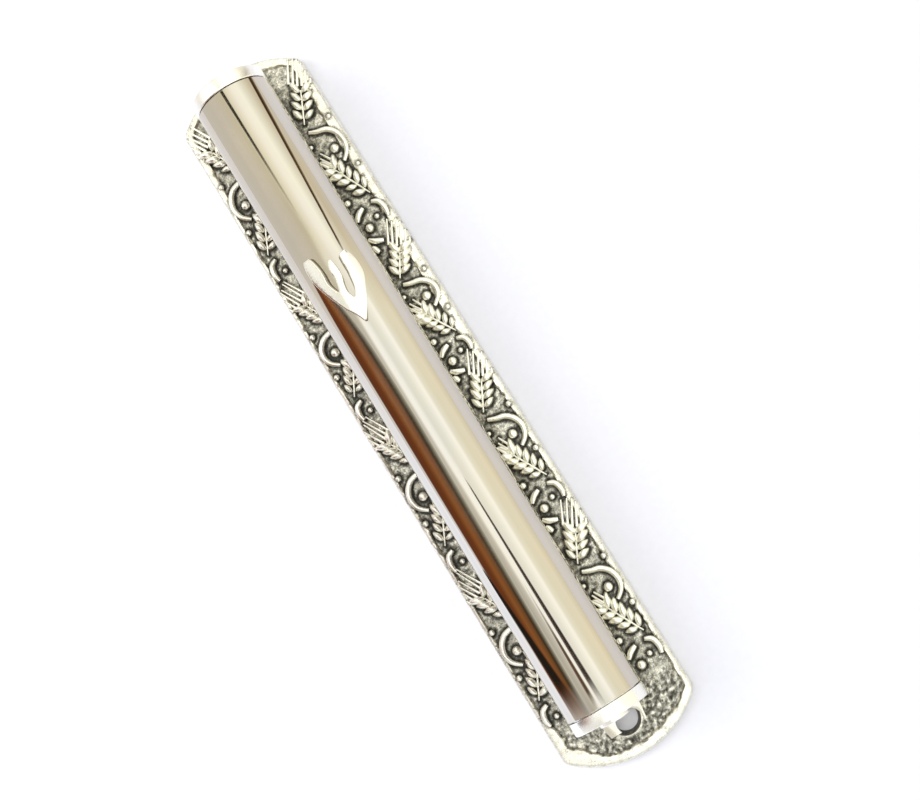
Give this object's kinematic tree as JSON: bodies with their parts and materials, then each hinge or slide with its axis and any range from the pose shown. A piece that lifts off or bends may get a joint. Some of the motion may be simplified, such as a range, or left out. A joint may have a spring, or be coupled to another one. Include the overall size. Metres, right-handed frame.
{
  "type": "mezuzah case",
  "caption": "Wall-mounted mezuzah case: cast pewter backplate with ornament, polished tube with pull-out end cap, emblem, and a rolled scroll inside.",
  "frame": {"origin": "middle of the flat back face, which rests on the doorpost or table", "axes": "+Z out of the decorated face, +Y along the case towards its top end, +X across it to the right"},
  "size_m": [0.031, 0.17, 0.0231],
  "materials": {
    "antique_pewter": "cast pewter, bright on the raised relief and rim, blackened in the recesses",
    "satin_rail": "smooth warm silver plate",
    "polished_tube": "polished warm nickel",
    "polished_caps": "bright turned and polished silver plate",
    "ring_rubber": "matt black rubber",
    "emblem_silver": "soft polished cast silver",
    "rivet_aluminium": "plain drawn aluminium",
    "clear_film": "thin clear film",
    "parchment": "matt cream parchment"
  },
  "bodies": {
    "case": {"backplate": "antique_pewter", "tube_saddle": "satin_rail", "tube": "polished_tube", "top_end_cap": "polished_caps", "shin_emblem": "emblem_silver", "lower_tube_rivet": "rivet_aluminium", "middle_tube_rivet": "rivet_aluminium", "upper_tube_rivet": "rivet_aluminium"},
    "bottom_cap": {"bottom_end_cap": "polished_caps", "bottom_cap_ring": "ring_rubber"},
    "scroll": {"parchment_scroll": "parchment", "scroll_sleeve": "clear_film"}
  },
  "joints": [
    {"name": "bottom_cap_pull", "type": "slide", "parent": "case", "child": "bottom_cap", "axis": [0, -1, 0], "range_m": [0, 0.15]},
    {"name": "scroll_draw", "type": "slide", "parent": "case", "child": "scroll", "axis": [0, -1, 0], "range_m": [0, 0.12]}
  ],
  "couplings": [
    {"joint": "scroll_draw", "follows": "bottom_cap_pull", "ratio": 0.8}
  ]
}
